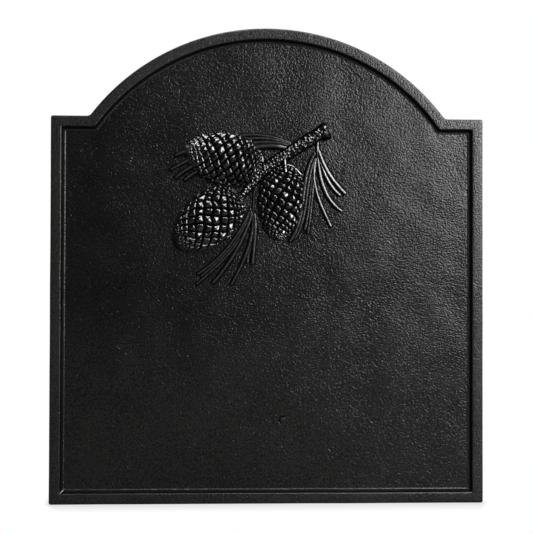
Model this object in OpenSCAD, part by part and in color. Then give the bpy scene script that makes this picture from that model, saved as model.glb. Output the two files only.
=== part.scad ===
// Cast-iron fireback with a sprig of three pine cones, standing on two rear legs.
// Row frame: +X to the right seen from the front, -Y towards the room, +Z up.
// The origin is the middle of the plate's bottom edge, at half its thickness.

/* [Plate] */
// Width of the plate
plate_w = 508; // [420:1:640]
// Height of the plate at the crown of the arch
plate_h = 557; // [530:1:640]
// Height of the square shoulders
shoulder_h = 452; // [440:1:480]
// Width of the arch where it leaves the shoulders
arch_w = 418; // [360:1:440]
// Thickness of the flat panel
panel_t = 10; // [8:0.5:16]

/* [Rim] */
// Width of the flat band round the edge
rim_w = 11; // [8:0.5:16]
// Height of the band above the panel
rim_h = 5; // [3:0.5:8]
// Width of the bead between the band and the panel
bead_w = 3.5; // [2:0.5:6]
// Height of the bead above the panel
bead_h = 1.5; // [1:0.25:2.5]

/* [Sprig] */
// Sideways shift of the whole sprig
sprig_x = 0; // [-40:1:40]
// Upward shift of the whole sprig
sprig_z = 0; // [-60:1:20]

/* [Cones] */
// Length of the upper cone
upper_len = 90; // [80:1:100]
// Width of the upper cone
upper_w = 61; // [50:1:66]
// Length of the lower cone
lower_len = 93; // [80:1:100]
// Width of the lower cone
lower_w = 59; // [50:1:66]
// Length of the right cone
right_len = 87; // [76:1:96]
// Width of the right cone
right_w = 51; // [44:1:56]
// How far a cone's body stands out of the panel
cone_rise = 13; // [8:0.5:18]
// How far a scale stands out of the cone's body
scale_rise = 3; // [1.5:0.25:4]
// Depth of the grooves between the scales
groove_depth = 1; // [0.5:0.1:2]

/* [Branch] */
// Thickness of the branch in its straight part
branch_d = 15; // [11:0.5:18]
// Thickness of the sawn end
cut_end_d = 21; // [18:0.5:26]
// How far the branch stands out of the panel
branch_rise = 9; // [6:0.5:12]

/* [Needles] */
// Width of a needle at its middle
needle_w = 4.2; // [3:0.1:5]
// How far a needle stands out of the panel
needle_rise = 2.9; // [2:0.1:4]

/* [Legs] */
// Distance between the bolt lines of the two legs
leg_spacing = 300; // [220:5:360]
// Width of a leg
leg_w = 32; // [30:1:44]
// Height of a leg
leg_h = 130; // [110:1:160]
// How far a leg reaches behind its bosses
leg_reach = 85; // [70:1:120]
// Thickness of a leg's back pad and foot
leg_t = 6; // [5:0.5:9]
// Thickness of the web down a leg's outer side
web_t = 6; // [5:0.5:9]
// Height of the lower bolt
low_bolt_z = 38; // [30:1:48]
// Distance between a leg's two bolts
bolt_pitch = 68; // [55:1:70]

/* [Bosses and bolts] */
// Height of a boss on the plate's back
boss_h = 6; // [4:0.5:9]
// Diameter of a boss at its face
boss_d = 24; // [20:1:28]
// Thread diameter of the bolts
bolt_d = 8; // [6:1:10]
// Length of thread in the boss
thread_depth = 10; // [8:0.5:11]
// Width of the bolt head across its flats
head_af = 13; // [11:1:15]
// Height of the bolt head
head_h = 5.3; // [4:0.1:7]
// Outer diameter of the flat washers
washer_d = 16; // [15:0.5:17]
// Thickness of the flat washers
washer_t = 1.6; // [1:0.1:2.5]
// Outer diameter of the spring washers
spring_washer_d = 14.8; // [14:0.1:15]
// Thickness of the spring washers
spring_washer_t = 2; // [1.5:0.1:2.5]

/* [Hidden] */

IRON = "#2b2d2f";
RELIEF_IRON = "#35383a";
STEEL = "#55585b";

// The arch is one circle through the crown and both shoulders.
arch_rise = plate_h - shoulder_h;
arch_r = (pow(arch_w / 2, 2) + pow(arch_rise, 2)) / (2 * arch_rise);
arch_z = plate_h - arch_r;

// Depths, counted from the middle of the panel towards the room.
front = panel_t / 2;
back = -front;
boss_face = back - boss_h;

// The legs' bolts, with clearances to what they pass through.
thread_clearance = 0.05;
// How far a cut runs past the face that it opens.
past = 1;
shank_clearance = 0.5;
drill_point = 1.5;
washer_bore = bolt_d + 0.4;
bolt_len = thread_depth + leg_t + washer_t + spring_washer_t;
boss_draft = 2;
spring_gap = 1.4;
spring_gap_lean = 15;
// The bolt line sits this far inside the leg's centre line, away from the web.
bolt_inset = web_t / 2;
leg_corner_r = 8;
// How far the web's ends stand above the pad and the foot.
web_land = 3;
web_arc_r = 0.85 * leg_h;

// The sprig's places are in the plane of the panel: [to the right, up].
sprig = [sprig_x, sprig_z];
upper_base = [-8.5, 392.5] + sprig;
upper_turn = 166;
lower_base = [-34, 360] + sprig;
lower_turn = 218.5;
right_base = [19, 396] + sprig;
right_turn = 265;

// Two steps from a scale to its neighbours, each [across, along] at the cone's middle.
upper_steps = [[8.8, 5.9], [-7.4, 4.8]];
lower_steps = [[7.4, 6.0], [-6.3, 7.8]];
right_steps = [[8.9, 4.0], [-4.1, 8.4]];
// The scales stop here, short of each end, and of the cone's flat back.
scale_reach = 1.5;
scale_turn = 78;
// Enough rows and columns of scales to cover a cone.
most_scales = 20;
// A scale's corners reach this far into its neighbours, as a share of its size.
scale_overlap = 1.05;
// The crest lies towards the tip, between two lower points across the scale.
crest_along = 0.3;
crest_lows = [0.1, 0.45];
low_share = 0.7;
// The cone's body reaches far enough along for its ends to close, in steps of the turn and reach.
body_reach = 2.7;
body_steps = [15, 0.45];
// A cone is fuller towards its stalk by this share.
fullness = 0.12;

// The branch runs from its sawn end to its fork: [right, up, share of branch_d].
branch_line = [
    [61, 434, 1.05], [50, 427, 1.12], [34, 417, 1.06], [20, 407.5, 1.0],
    [5, 398, 1.02], [-7, 389, 0.95]
];
// The fork that ends in the lower cone's stalk, and the two short stalks.
fork_line = [[-7, 389, 0.86], [-16, 377, 0.74], [-24, 367, 0.66], [-36, 354, 0.6]];
right_stalk = [[18, 407, 0.5], [19.5, 391, 0.42]];
upper_stalk = [[0, 395, 0.8], [-14, 391, 0.7]];
cut_end = [[60, 433.5], [70, 437.2]];

// Each needle is [root, root's bend, tip's bend, tip, share of needle_w].
top_needles = [
    [[28, 421.5], [8, 431], [-16, 434], [-36, 430], 0.9],
    [[28, 420], [8, 428], [-15, 428.5], [-34, 425], 0.9],
    [[27, 418.5], [10, 424.5], [-5, 424], [-20, 422], 0.9],
    [[25, 416.5], [10, 422], [-3.5, 420], [-16, 417.5], 1.1]
];
left_needles = [
    [[-84, 413], [-93.5, 413.5], [-102.5, 410.5], [-110.5, 406], 1.1],
    [[-72, 408], [-88, 406], [-101.5, 397], [-115.5, 389.5], 1.0],
    [[-72, 400], [-87, 396], [-99, 390], [-109.5, 379.5], 1.0],
    [[-70, 394], [-80.5, 390], [-90.5, 385], [-99, 377], 1.0]
];
bottom_needles = [
    [[-20, 346], [-33, 313.5], [-53.5, 286], [-83.5, 268], 1.0],
    [[-19.5, 344], [-33, 305.5], [-49, 290], [-79.5, 264], 0.9],
    [[-19, 342], [-28.5, 304], [-56, 279.5], [-84.5, 255.5], 1.0],
    [[-18.5, 340], [-28, 309], [-43.5, 280.5], [-65.5, 256.5], 1.2],
    [[-18, 338], [-15.5, 308.5], [-29.5, 280], [-43.5, 254.5], 1.1],
    [[-17.5, 336], [-12.5, 316.5], [-24, 299], [-24, 280], 0.9],
    [[-16, 340], [-13, 319.5], [-17.5, 298.5], [-18, 278], 1.2]
];
right_needles = [
    [[59.5, 416], [64.5, 395.5], [77, 376.5], [92.5, 362.5], 1.35],
    [[59, 411], [64, 393], [70.5, 372], [86.5, 360.5], 1.1],
    [[58.5, 408], [60.5, 383.5], [65.5, 355.5], [88.5, 342], 1.15],
    [[60.5, 392], [65.5, 379], [68.5, 364], [78, 353], 0.8],
    [[57, 406], [47.5, 376.5], [62.5, 349], [75, 323], 1.0],
    [[56, 402], [52.5, 372.5], [51.5, 344], [46.5, 314], 1.0],
    [[55.5, 402], [49, 375], [50, 346.5], [43, 319], 0.9],
    [[55.5, 405], [42.5, 375], [49, 339], [31.5, 309], 1.0],
    [[56, 412], [35, 380], [48.5, 337.5], [25, 305.5], 1.2]
];
// The sheath that each bunch grows out of: [root, end, share of needle_w at the end].
bottom_sheath = [[-16.5, 374], [-17.5, 342], 1.6];
right_sheath = [[58.5, 427], [57, 402], 1.9];
sheath_rise = 1.3 * needle_rise;
needle_steps = 7;
// A needle's cross-section from flank to flank: [share of its width, share of its rise].
needle_ridge = [[-0.5, 0], [-0.3, 0.8], [0, 1], [0.3, 0.8], [0.5, 0]];
// A needle's width and rise at its ends, as a share of its middle.
needle_end = 0.35;

function sech(t) = 2 / (exp(t) + exp(-t));
function tanh(t) = (exp(t) - exp(-t)) / (exp(t) + exp(-t));

// A point of a cone's surface, raised by lift: turn goes round the axis and t along it.
function cone_point(length, width, turn, t, lift) =
    let (round_share = sech(t) * (1 - fullness * tanh(t)))
    [
        length / 2 + (length / 2 + lift) * tanh(t),
        (width / 2 + lift) * round_share * sin(turn),
        (cone_rise + lift) * round_share * cos(turn)
    ];

// A needle's middle line, from its root at t = 0 to its tip at t = 1.
function bezier(needle, t) =
    pow(1 - t, 3) * needle[0] + 3 * t * pow(1 - t, 2) * needle[1]
    + 3 * t * t * (1 - t) * needle[2] + pow(t, 3) * needle[3];
function heading(from, to) = atan2(to[1] - from[1], to[0] - from[0]);

// Stands up what is drawn lying on its back, with its depth towards the room.
module upright() {
    rotate([90, 0, 0]) children();
}

// A slab with the plate's outline, drawn in from its edge by inset.
module outline_slab(inset, depth) {
    half_w = plate_w / 2 - inset;
    r = arch_r - inset;
    linear_extrude(depth) {
        translate([-half_w, inset]) square([2 * half_w, shoulder_h - 2 * inset]);
        intersection() {
            translate([0, arch_z]) circle(r, $fn = 180);
            translate([-r, shoulder_h - inset - rim_w]) square([2 * r, arch_rise + rim_w]);
        }
    }
}

// Puts its children at the four bolts, facing away from the boss face.
module at_bolts() {
    for (side = [-1, 1], step = [0, 1])
        translate([side * leg_spacing / 2, low_bolt_z + step * bolt_pitch, boss_face])
            rotate([180, 0, 0])
                children();
}

module back_plate() {
    color(IRON) upright() difference() {
        union() {
            translate([0, 0, back]) outline_slab(0, panel_t);
            at_bolts() mirror([0, 0, 1])
                cylinder(d1 = boss_d, d2 = boss_d + 2 * boss_draft, h = boss_h, $fn = 48);
        }
        at_bolts() mirror([0, 0, 1])
            translate([0, 0, -past])
                cylinder(
                    d = bolt_d + 2 * thread_clearance, h = thread_depth + drill_point + past,
                    $fn = 32
                );
    }
}

module rim_moulding() {
    color(IRON) upright() translate([0, 0, front]) {
        difference() {
            outline_slab(0, rim_h);
            translate([0, 0, -past]) outline_slab(rim_w, rim_h + 2 * past);
        }
        difference() {
            outline_slab(rim_w, bead_h);
            translate([0, 0, -past]) outline_slab(rim_w + bead_w, bead_h + 2 * past);
        }
    }
}

// One scale: a blunt pyramid whose highest point leans towards the cone's tip.
module cone_scale(length, width, turn, t, step_1, step_2) {
    along = (step_1 + step_2) / 2;
    across = (step_1 - step_2) / 2;
    // Its corners reach a little into its neighbours and down into the cone's body.
    corners = [
        for (c = [along, across, -along, -across], lift = [-groove_depth, -2 * scale_rise])
            [scale_overlap * c, lift]
    ];
    crest = [
        [crest_lows[0] * along + crest_lows[1] * across, low_share * scale_rise],
        [crest_lows[0] * along - crest_lows[1] * across, low_share * scale_rise],
        [crest_along * along, scale_rise]
    ];
    hull_of([
        for (s = concat(corners, crest))
            cone_point(length, width, turn + s[0][0], t + s[0][1], s[1])
    ]);
}

// The hull of a list of points: a hull reads corners only, so one face names them all.
module hull_of(points) {
    hull() polyhedron(points, [[for (i = [0:len(points) - 1]) i]]);
}

// A cone lying on the panel, with its stalk end at the origin and its tip along +X.
module pine_cone(length, width, steps) {
    // The two steps as [degrees round the axis, share of the length].
    step_1 = [steps[0][0] / width * 360 / PI, 2 * steps[0][1] / length];
    step_2 = [steps[1][0] / width * 360 / PI, 2 * steps[1][1] / length];
    intersection() {
        union() {
            hull_of([
                for (turn = [-90:body_steps[0]:90], t = [-body_reach:body_steps[1]:body_reach])
                    cone_point(length, width, turn, t, -groove_depth)
            ]);
            for (i = [-most_scales:most_scales], j = [-most_scales:most_scales]) {
                place = i * step_1 + j * step_2;
                if (abs(place[0]) < scale_turn && abs(place[1]) < scale_reach)
                    cone_scale(length, width, place[0], place[1], step_1, step_2);
            }
        }
        translate([-length, -length, 0]) cube(3 * length);
    }
}

// Lays its children on the panel, turned about the depth axis and moved to a place.
module on_panel(place, turn) {
    translate([place[0], place[1], front]) rotate([0, 0, turn]) children();
}

module upper_cone_body() {
    on_panel(upper_base, upper_turn) pine_cone(upper_len, upper_w, upper_steps);
}

module lower_cone_body() {
    on_panel(lower_base, lower_turn) pine_cone(lower_len, lower_w, lower_steps);
}

module right_cone_body() {
    on_panel(right_base, right_turn) pine_cone(right_len, right_w, right_steps);
}

module all_cones() {
    upper_cone_body();
    lower_cone_body();
    right_cone_body();
}

// A limb swelling and thinning through a list of [right, up, share of branch_d].
module limb(line) {
    for (i = [0:len(line) - 2])
        hull()
            for (p = [line[i], line[i + 1]])
                translate([p[0], p[1], 0])
                    scale([1, 1, 2 * branch_rise / branch_d])
                        sphere(d = branch_d * p[2], $fn = 16);
}

module branch_body() {
    on_panel(sprig, 0) intersection() {
        union() {
            limb(branch_line);
            limb(fork_line);
            limb(right_stalk);
            limb(upper_stalk);
            translate([cut_end[0][0], cut_end[0][1], 0])
                rotate([0, 0, heading(cut_end[0], cut_end[1])])
                    scale([1, 1, 2 * branch_rise / branch_d])
                        rotate([0, 90, 0])
                            cylinder(
                                d1 = branch_d, d2 = cut_end_d,
                                h = norm(cut_end[1] - cut_end[0]), $fn = 24
                            );
        }
        // Only what stands out of the panel.
        translate([-plate_w, -plate_h, 0]) cube([2 * plate_w, 3 * plate_h, cut_end_d]);
    }
}

// One cross-section of a needle or sheath: flat on the panel, with a narrow crest.
function needle_section(p, turn, w, rise) = [
    for (s = needle_ridge)
        [p[0] - s[0] * w * sin(turn), p[1] + s[0] * w * cos(turn), s[1] * rise]
];

// A needle's width and rise, as a share, from its root to its tip: full in the middle.
function needle_share(t) = needle_end + (1 - needle_end) * pow(sin(20 + 140 * t), 0.6);

module needle(n) {
    sections = [
        for (k = [0:needle_steps])
            let (t = k / needle_steps, share = needle_share(t))
                needle_section(
                    bezier(n, t),
                    heading(bezier(n, t - 0.05), bezier(n, t + 0.05)),
                    needle_w * n[4] * share,
                    needle_rise * share
                )
    ];
    for (k = [0:needle_steps - 1]) hull_of(concat(sections[k], sections[k + 1]));
}

module sheath(s) {
    turn = heading(s[0], s[1]);
    hull_of(concat(
        needle_section(s[0], turn, needle_w, needle_rise),
        needle_section(s[1], turn, needle_w * s[2], sheath_rise)
    ));
}

// A bunch of needles, cut back where it runs under the branch and the cones.
module bunch(needles, sheaths) {
    difference() {
        on_panel(sprig, 0) {
            for (n = needles) needle(n);
            for (s = sheaths) sheath(s);
        }
        branch_body();
        all_cones();
    }
}

module cone_upper() {
    color(RELIEF_IRON) upright() upper_cone_body();
}

module cone_lower() {
    color(RELIEF_IRON) upright() difference() {
        lower_cone_body();
        upper_cone_body();
    }
}

module cone_right() {
    color(RELIEF_IRON) upright() difference() {
        right_cone_body();
        upper_cone_body();
    }
}

module branch() {
    color(RELIEF_IRON) upright() difference() {
        branch_body();
        all_cones();
    }
}

module needles_top() {
    color(RELIEF_IRON) upright() bunch(top_needles, []);
}

module needles_left() {
    color(RELIEF_IRON) upright() bunch(left_needles, []);
}

module needles_bottom() {
    color(RELIEF_IRON) upright() bunch(bottom_needles, [bottom_sheath]);
}

module needles_right() {
    color(RELIEF_IRON) upright() bunch(right_needles, [right_sheath]);
}

// A flat bar from the origin along +Y, with its two far corners rounded.
module rounded_bar(w, l) {
    translate([-w / 2, 0]) square([w, l - leg_corner_r]);
    translate([leg_corner_r - w / 2, 0]) square([w - 2 * leg_corner_r, l]);
    for (side = [-1, 1])
        translate([side * (w / 2 - leg_corner_r), l - leg_corner_r])
            circle(leg_corner_r, $fn = 32);
}

// The web's outline, [back, up]: a right angle whose long side is a hollow arc.
module web_outline() {
    top = [leg_t + web_land, leg_h - leg_corner_r];
    end = [leg_reach - leg_corner_r, leg_t + web_land];
    chord = end - top;
    away = [-chord[1], chord[0]] / norm(chord);
    centre = (top + end) / 2 + away * sqrt(pow(web_arc_r, 2) - pow(norm(chord) / 2, 2));
    difference() {
        square([end[0], top[1]]);
        translate(centre) circle(web_arc_r, $fn = 120);
    }
}

// The right leg, with its bolt line in the plane x = 0 and its pad against the bosses.
module leg() {
    difference() {
        translate([bolt_inset, 0, 0]) {
            translate([0, leg_t, 0]) rotate([90, 0, 0])
                linear_extrude(leg_t) rounded_bar(leg_w, leg_h);
            linear_extrude(leg_t) rounded_bar(leg_w, leg_reach);
            translate([leg_w / 2 - web_t, 0, 0])
                rotate([90, 0, 90]) linear_extrude(web_t) web_outline();
        }
        for (step = [0, 1])
            translate([0, -past, low_bolt_z + step * bolt_pitch])
                rotate([-90, 0, 0])
                    cylinder(d = bolt_d + shank_clearance, h = leg_t + 2 * past, $fn = 32);
    }
}

module leg_right() {
    color(IRON) translate([leg_spacing / 2, -boss_face, 0]) leg();
}

module leg_left() {
    color(IRON) mirror([1, 0, 0]) translate([leg_spacing / 2, -boss_face, 0]) leg();
}

module leg_bolts() {
    color(STEEL) upright() at_bolts() {
        translate([0, 0, -thread_depth])
            cylinder(d = bolt_d, h = bolt_len, $fn = 32);
        translate([0, 0, bolt_len - thread_depth]) intersection() {
            cylinder(d = head_af / cos(30), h = head_h, $fn = 6);
            // The chamfer round the head's outer corners.
            cylinder(d1 = head_af + 2 * head_h, d2 = head_af, h = head_h, $fn = 48);
        }
    }
}

module flat_washers() {
    color(STEEL) upright() at_bolts()
        translate([0, 0, leg_t]) difference() {
            cylinder(d = washer_d, h = washer_t, $fn = 48);
            translate([0, 0, -past]) cylinder(d = washer_bore, h = washer_t + 2 * past, $fn = 32);
        }
}

module spring_washers() {
    color(STEEL) upright() at_bolts()
        translate([0, 0, leg_t + washer_t]) difference() {
            cylinder(d = spring_washer_d, h = spring_washer_t, $fn = 48);
            translate([0, 0, -past])
                cylinder(d = washer_bore, h = spring_washer_t + 2 * past, $fn = 32);
            // The slanted split.
            translate([bolt_d / 2, -spring_gap / 2, -past])
                rotate([spring_gap_lean, 0, 0])
                    cube([spring_washer_d, spring_gap, spring_washer_t + 3 * past]);
        }
}

back_plate();
rim_moulding();
cone_upper();
cone_lower();
cone_right();
branch();
needles_top();
needles_left();
needles_bottom();
needles_right();
leg_left();
leg_right();
leg_bolts();
flat_washers();
spring_washers();
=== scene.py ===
import math

import bmesh
import bpy
from mathutils import Matrix, Vector, geometry, noise


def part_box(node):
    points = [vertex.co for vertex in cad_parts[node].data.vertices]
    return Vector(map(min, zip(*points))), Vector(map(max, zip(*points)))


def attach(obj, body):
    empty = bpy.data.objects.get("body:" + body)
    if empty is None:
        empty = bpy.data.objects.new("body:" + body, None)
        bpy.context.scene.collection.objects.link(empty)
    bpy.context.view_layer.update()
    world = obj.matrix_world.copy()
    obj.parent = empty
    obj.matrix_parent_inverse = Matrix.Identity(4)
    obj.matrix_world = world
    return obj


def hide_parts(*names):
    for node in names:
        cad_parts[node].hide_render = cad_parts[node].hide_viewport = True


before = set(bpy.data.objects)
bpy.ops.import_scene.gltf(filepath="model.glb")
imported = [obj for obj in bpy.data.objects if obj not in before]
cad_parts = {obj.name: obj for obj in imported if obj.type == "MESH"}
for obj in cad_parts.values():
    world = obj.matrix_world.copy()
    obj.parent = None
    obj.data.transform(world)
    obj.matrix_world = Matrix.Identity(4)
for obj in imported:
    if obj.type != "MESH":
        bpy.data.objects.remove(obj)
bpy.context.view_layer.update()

mm = 0.001

# ---------------------------------------------------------------------------------------------
# The camera. It stands two metres in front of the plate, a little to the left of its middle and a
# little below it, and looks slightly upwards, as the photograph's outline shows.
# ---------------------------------------------------------------------------------------------
camera_aim = Vector((-1.31, 0, 277.2)) * mm
camera_distance = 2.0
camera_azimuth = math.radians(-3.92)
camera_elevation = math.radians(-1.5)
camera_roll = math.radians(0.15)
camera_film_width = 36
camera_focal_length = 114.8


def put_in_scene(name, data):
    """A new object that holds this data, at the scene's origin."""
    obj = bpy.data.objects.new(name, data)
    bpy.context.scene.collection.objects.link(obj)
    return obj


backwards = Vector((
    math.sin(camera_azimuth) * math.cos(camera_elevation),
    -math.cos(camera_azimuth) * math.cos(camera_elevation),
    math.sin(camera_elevation),
))
level_right = (-backwards).cross(Vector((0, 0, 1))).normalized()
level_up = level_right.cross(-backwards)
camera_right = level_right * math.cos(camera_roll) + level_up * math.sin(camera_roll)
camera_up = level_up * math.cos(camera_roll) - level_right * math.sin(camera_roll)

camera_data = bpy.data.cameras.new("camera")
camera_data.sensor_width = camera_film_width
camera_data.lens = camera_focal_length
camera = put_in_scene("camera", camera_data)
turn_to_view = Matrix((camera_right, camera_up, backwards)).transposed().to_4x4()
camera.matrix_world = Matrix.Translation(camera_aim + backwards * camera_distance) @ turn_to_view
bpy.context.scene.camera = camera


# ---------------------------------------------------------------------------------------------
# The plate. One open-sand iron casting, about 10 mm thick, with a softly uneven face, a small
# plugged vent low on the right, and four bosses on its back. Sprayed with satin black paint.
# ---------------------------------------------------------------------------------------------
plate_low, plate_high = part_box("back_plate")
half_width = plate_high[0]
plate_height = plate_high[2]
panel_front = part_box("rim_moulding")[1][1]
shoulder_height = 452 * mm
arch_half_width = 209 * mm
arch_rise = plate_height - shoulder_height
arch_radius = (arch_half_width ** 2 + arch_rise ** 2) / (2 * arch_rise)
arch_centre = plate_height - arch_radius
arch_steps = 40
corner_radius = 2.5 * mm
corner_steps = 6
notch_radius = 7 * mm
outline_step = 6 * mm
hand_cut_depth = 0.35 * mm
hand_cut_wave = 60 * mm


def rounded(corner, before, after, radius):
    """The arc that rounds a corner between the directions that lead to it and away from it."""
    turn = before.angle_signed(after)
    setback = radius * math.tan(abs(turn) / 2)
    start = corner - before * setback
    side = Vector((-before.y, before.x)) * (1 if turn < 0 else -1)
    centre = start + side * radius
    return [
        centre + Matrix.Rotation(-turn * k / corner_steps, 2) @ (start - centre)
        for k in range(corner_steps + 1)
    ]


def half_outline(inset):
    """The right half of the plate's outline, drawn in by inset: bottom middle to crown."""
    x = half_width - inset
    top = shoulder_height - inset
    radius = arch_radius - inset
    across, up = Vector((1, 0)), Vector((0, 1))
    convex = max(corner_radius - inset, 0.1 * inset)
    hollow = notch_radius - 0.25 * inset
    notch_x = math.sqrt(radius ** 2 - (top - arch_centre) ** 2)
    notch_angle = math.atan2(top - arch_centre, notch_x)
    along_arch = Vector((-math.sin(notch_angle), math.cos(notch_angle)))

    points = [Vector((0, inset))]
    points += rounded(Vector((x, inset)), across, up, convex)
    points += rounded(Vector((x, top)), up, -across, convex)
    points += rounded(Vector((notch_x, top)), -across, along_arch, hollow)
    last = points[-1] - Vector((0, arch_centre))
    start_angle = math.atan2(last.y, last.x)
    for k in range(1, arch_steps + 1):
        angle = start_angle + (math.pi / 2 - start_angle) * k / arch_steps
        points.append(Vector((radius * math.cos(angle), arch_centre + radius * math.sin(angle))))
    return points


full_half = half_outline(0)
stretch_counts = [
    max(1, round((b - a).length / outline_step)) for a, b in zip(full_half, full_half[1:])
]


def outline(inset):
    """The closed outline drawn in by inset, anticlockwise as seen from the front."""
    points = half_outline(inset)
    right = []
    for start, end, count in zip(points, points[1:], stretch_counts):
        right += [start.lerp(end, k / count) for k in range(count)]
    left = [Vector((-p.x, p.y)) for p in reversed(right[1:])]
    return right + [points[-1]] + left


def ripple(x, z, size, seed=0.0):
    """Smooth unevenness between -1 and 1, with hollows about size apart."""
    return noise.noise(Vector((x / size, seed, z / size)))


def hand_cut(point):
    """The pattern was trimmed by hand, so its edge wanders inwards a little."""
    wander = 0.5 + 0.5 * ripple(point.x, point.y, hand_cut_wave, 3.7)
    inward = Vector((0, plate_height / 2)) - point
    return point + inward.normalized() * hand_cut_depth * wander


def loft(name, rings, close_ends=True):
    """A closed mesh through rings of the same number of corners."""
    mesh = bpy.data.meshes.new(name)
    count = len(rings[0])
    corners = [p for ring in rings for p in ring]
    faces = [
        (r * count + k, r * count + (k + 1) % count,
         (r + 1) * count + (k + 1) % count, (r + 1) * count + k)
        for r in range(len(rings) - 1) for k in range(count)
    ]
    if close_ends:
        faces += [tuple(range(count))[::-1], tuple(range(len(corners) - count, len(corners)))]
    mesh.from_pydata(corners, [], faces)
    return mesh


def piece(name, mesh, material, smooth_angle=40):
    """Puts a finished mesh in the scene: outward faces, soft shading, its material and body."""
    work = bmesh.new()
    work.from_mesh(mesh)
    bmesh.ops.remove_doubles(work, verts=work.verts, dist=1e-7)
    bmesh.ops.recalc_face_normals(work, faces=work.faces)
    work.to_mesh(mesh)
    work.free()
    mesh.materials.clear()
    mesh.materials.append(material)
    mesh.shade_smooth()
    mesh.set_sharp_from_angle(angle=math.radians(smooth_angle))
    obj = put_in_scene(name, mesh)
    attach(obj, "root")
    return obj


def on_front(point, depth):
    """A point of the plate's plane, moved out of the panel's face by depth."""
    return Vector((point.x, panel_front - depth, point.y))


# The face is a fine net of triangles, so that its unevenness is real.
face_net = 4.5 * mm
face_row_share = math.sqrt(0.75)
face_ripple = 0.5 * mm
face_quiet_edge = 15 * mm
vent_place = Vector((18, 97)) * mm
vent_radius = 4 * mm
vent_reach = 1.6
vent_rings = 13
vent_ring_step = 0.125 * vent_radius
vent_height = 0.35 * mm
vent_crack_depth = 2 * mm
vent_crack_at = 1.1
vent_crack_half_width = 0.2
vent_crack_side = Vector((0.7, -0.7))

edge = [hand_cut(p) for p in outline(0)]
net = []
for row in range(1, int(plate_height / (face_net * face_row_share))):
    z = row * face_net * face_row_share
    reach = half_width
    if z > shoulder_height - face_net:
        reach = math.sqrt(max(arch_radius ** 2 - (z - arch_centre) ** 2, 0))
    for column in range(int(2 * half_width / face_net) + 1):
        x = -half_width + (column + 0.5 * (row % 2)) * face_net
        p = Vector((x, z))
        if abs(x) < reach - face_net and (p - vent_place).length > vent_reach * vent_radius:
            net.append(p)
for ring in range(vent_rings):
    count = max(1, 6 * ring)
    for k in range(count):
        angle = math.tau * k / count
        net.append(vent_place + vent_ring_step * ring * Vector((math.cos(angle), math.sin(angle))))

ring_edges = [(k, (k + 1) % len(edge)) for k in range(len(edge))]
flat, _, triangles, _, _, _ = geometry.delaunay_2d_cdt(edge + net, ring_edges, [], 1, 1e-6)


def face_depth(p):
    """How far the panel's face stands out of its plane at a place."""
    inside = min(half_width - abs(p.x), p.y, shoulder_height - p.y if abs(p.x) > arch_half_width
                 else arch_radius - (p - Vector((0, arch_centre))).length)
    calm = min(max(inside / face_quiet_edge - 1, 0), 1)
    depth = face_ripple * calm * (
        ripple(p.x, p.y, 75 * mm) + 0.8 * ripple(p.x, p.y, 34 * mm, 1.3)
    )
    gap = (p - vent_place).length / vent_radius
    if gap < vent_reach:
        below = (vent_place - p).normalized().dot(vent_crack_side) if gap > 0.01 else 0
        crack = max(0, 1 - abs(gap - vent_crack_at) / vent_crack_half_width) * min(
            1, max(0, 2 * below))
        depth += vent_height * max(0, 1 - gap * gap) ** 2 - vent_crack_depth * crack
    return depth


def bridge(work, low, high):
    """Joins two rings of corners with a band of faces."""
    for k in range(len(low)):
        j = (k + 1) % len(low)
        work.faces.new((low[k], low[j], high[j], high[k]))


# The edge runs back to a soft corner: (inset, depth) in millimetres.
back_edge = [(0, 8.4), (0.25, 9.2), (0.8, 9.75), (1.6, 10)]
plate_work = bmesh.new()
face_verts = [plate_work.verts.new(on_front(p, face_depth(p))) for p in flat]
for corners in triangles:
    plate_work.faces.new([face_verts[c] for c in corners])
previous = face_verts[:len(edge)]
for inset, depth in back_edge:
    ring = [
        plate_work.verts.new(on_front(hand_cut(p), -depth * mm)) for p in outline(inset * mm)
    ]
    bridge(plate_work, previous, ring)
    previous = ring
plate_work.faces.new(previous)


def circle(radius, y, steps=48, gap=0.0):
    """Corners round the Y axis at a radius and a y in millimetres, open where there is a gap."""
    count = steps + 1 if gap else steps
    angles = [gap / 2 + (math.tau - gap) * k / steps for k in range(count)]
    return [(radius * mm * math.cos(a), y * mm, radius * mm * math.sin(a)) for a in angles]


# The bosses: drafted, with a soft root, a rounded rim and a blind tapped hole. Each pair is a
# radius and how far it lies behind the panel's face.
washer_low, washer_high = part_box("flat_washers")
washer_radius = 8 * mm
bolt_columns = (washer_low[0] + washer_radius, washer_high[0] - washer_radius)
bolt_rows = (washer_low[2] + washer_radius, washer_high[2] - washer_radius)
boss_profile = [
    (17.0, 9.6), (16.2, 10.05), (15.0, 10.3), (14.1, 11.0), (13.4, 12.4), (12.6, 15.0),
    (12.2, 15.7), (11.5, 16.0), (4.9, 16.0), (4.05, 15.2), (4.05, 4.8),
]
for x in bolt_columns:
    for z in bolt_rows:
        rings = [
            [plate_work.verts.new((x + across, panel_front + back, z + up))
             for across, back, up in circle(radius, depth)]
            for radius, depth in boss_profile
        ]
        for low, high in zip(rings, rings[1:]):
            bridge(plate_work, low, high)
        plate_work.faces.new(rings[0])
        plate_work.faces.new(rings[-1])
plate_mesh = bpy.data.meshes.new("back_plate_casting")
plate_work.to_mesh(plate_mesh)
plate_work.free()


def connect(tree, value, socket):
    """Feeds a socket from another node's output, or sets it to a constant."""
    if isinstance(value, Field):
        tree.links.new(value.socket, socket)
    elif isinstance(value, bpy.types.NodeSocket):
        tree.links.new(value, socket)
    else:
        socket.default_value = value


def add_node(tree, kind, inputs=None, **settings):
    """A new node with its settings and its inputs, which are named or counted."""
    node = tree.nodes.new(kind)
    for name, value in settings.items():
        setattr(node, name, value)
    for name, value in (inputs or {}).items():
        connect(tree, value, node.inputs[name])
    return node


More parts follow.
